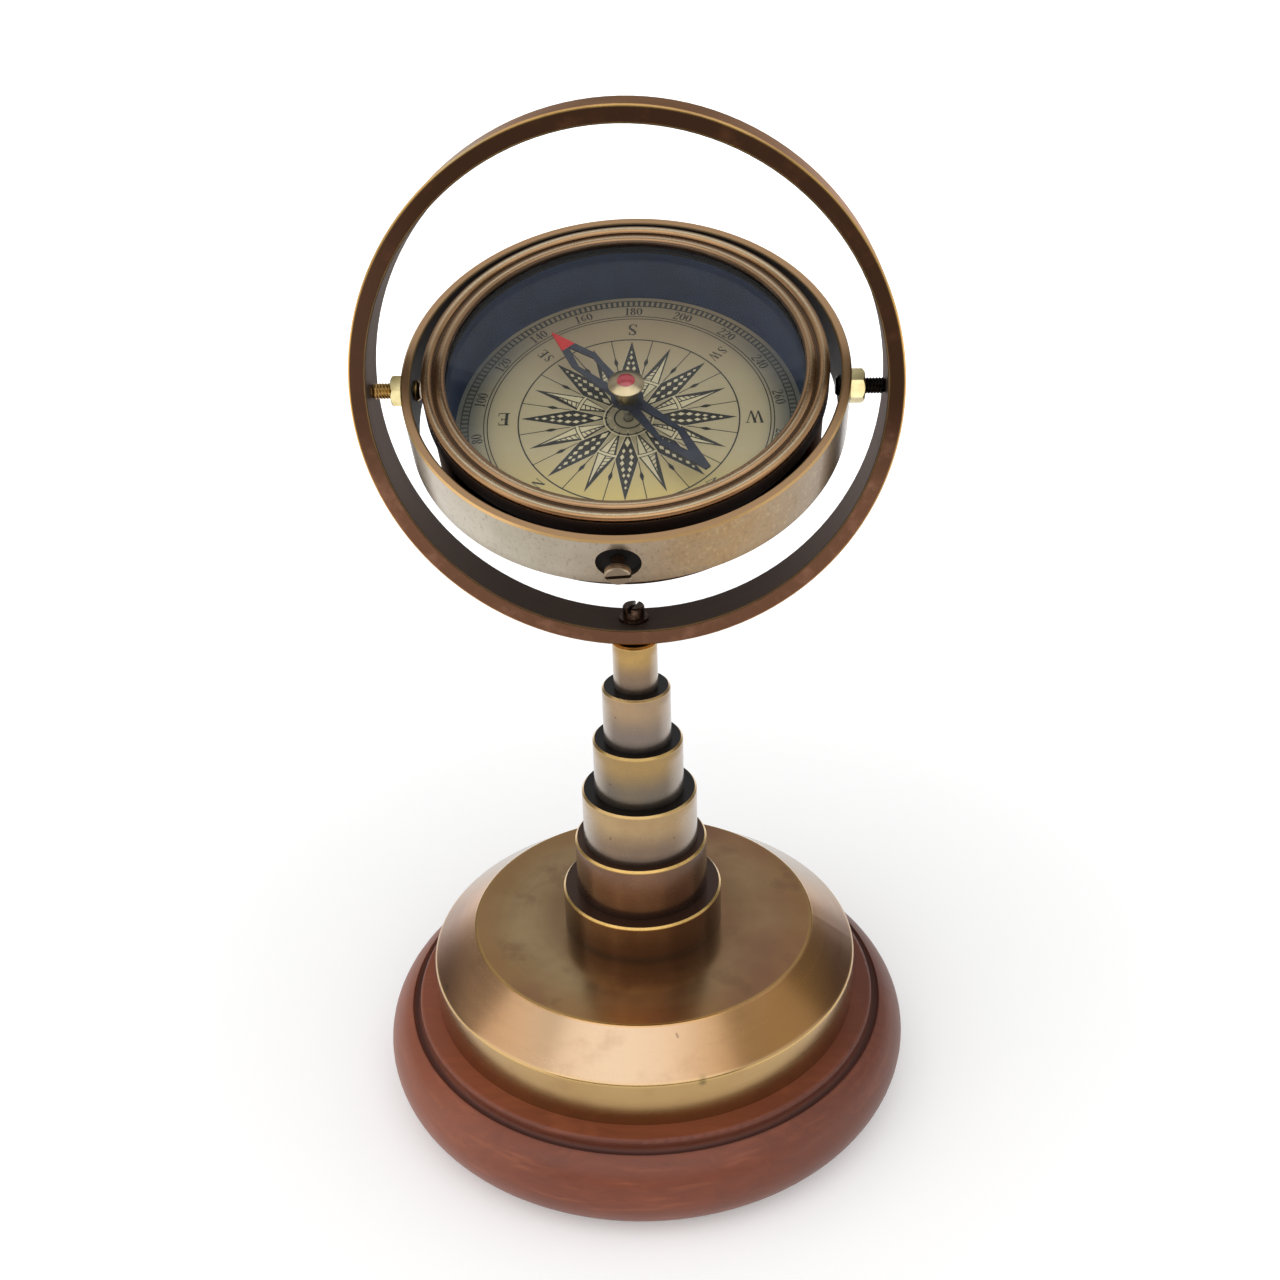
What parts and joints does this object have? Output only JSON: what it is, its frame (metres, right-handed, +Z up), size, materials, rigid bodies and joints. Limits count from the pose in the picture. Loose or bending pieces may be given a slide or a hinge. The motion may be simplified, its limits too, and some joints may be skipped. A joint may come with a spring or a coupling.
{
  "type": "gimbal compass",
  "caption": "Desk compass bowl under glass, hung in a gimbal ring and an outer ring on a stepped brass stem with a round wooden base.",
  "frame": {"origin": "middle of the felt pad's underside, at the table", "axes": "+Z up along the stem; -Y to the viewer who reads the dial; +X to that viewer's right, along the gimbal ring's axle"},
  "size_m": [0.1136, 0.1136, 0.2056],
  "materials": {
    "felt": "felt, matt",
    "wood": "stained hardwood, satin lacquer",
    "steel": "plain steel",
    "cover_brass": "polished brass, aged",
    "stem_brass": "polished brass, aged",
    "ring_brass": "brass, antique bronze tone",
    "gimbal_brass": "polished brass",
    "screw_brass": "brass, worn",
    "nut_brass": "bright brass",
    "dark_screw": "blackened steel",
    "bush": "black bearing plastic",
    "bowl_brass": "brass, antique bronze tone",
    "bezel_brass": "brass, copper tone, polished",
    "glass": "clear flat glass",
    "gasket": "black rubber",
    "liner": "dark blue-black enamel",
    "card": "satin pale gold anodised",
    "card_print": "black printing ink",
    "needle_blue": "dark blue enamel, one tip red",
    "cap_brass": "polished brass",
    "jewel": "red, glossy"
  },
  "bodies": {
    "base": {"felt_pad": "felt", "wood_base": "wood", "base_nut": "steel", "base_washer": "steel", "tie_stud": "steel", "base_cover": "cover_brass", "stem_tier_1": "stem_brass", "stem_tier_2": "stem_brass", "stem_tier_3": "stem_brass", "stem_tier_4": "stem_brass", "stem_tier_5": "stem_brass", "stem_tier_6": "stem_brass", "outer_ring": "ring_brass", "ring_screw": "dark_screw", "ring_washer": "dark_screw"},
    "gimbal": {"gimbal_ring": "gimbal_brass", "axle_screw_left": "screw_brass", "axle_screw_right": "dark_screw", "axle_nut_left": "nut_brass", "axle_nut_right": "nut_brass", "pivot_bush_front": "bush", "pivot_bush_back": "bush"},
    "compass": {"bowl": "bowl_brass", "bezel": "bezel_brass", "glass": "glass", "glass_gasket": "gasket", "bowl_liner": "liner", "dial_plate": "card", "compass_rose": "card_print", "pivot_post": "steel", "pivot_screw_front": "screw_brass", "pivot_screw_back": "screw_brass", "pivot_nut_front": "screw_brass", "pivot_nut_back": "screw_brass"},
    "needle": {"needle": "needle_blue", "needle_cap": "cap_brass", "cap_jewel": "jewel"}
  },
  "joints": [
    {"name": "gimbal_turn", "type": "hinge", "parent": "base", "child": "gimbal", "pos_m": [0, 0, 0.15551], "axis": [1, 0, 0], "continuous": true},
    {"name": "bowl_turn", "type": "hinge", "parent": "gimbal", "child": "compass", "pos_m": [0, 0, 0.15551], "axis": [0, -0.8829, -0.4695], "continuous": true},
    {"name": "needle_turn", "type": "hinge", "parent": "compass", "child": "needle", "pos_m": [0, 0, 0.15551], "axis": [0, -0.4695, 0.8829], "continuous": true}
  ]
}
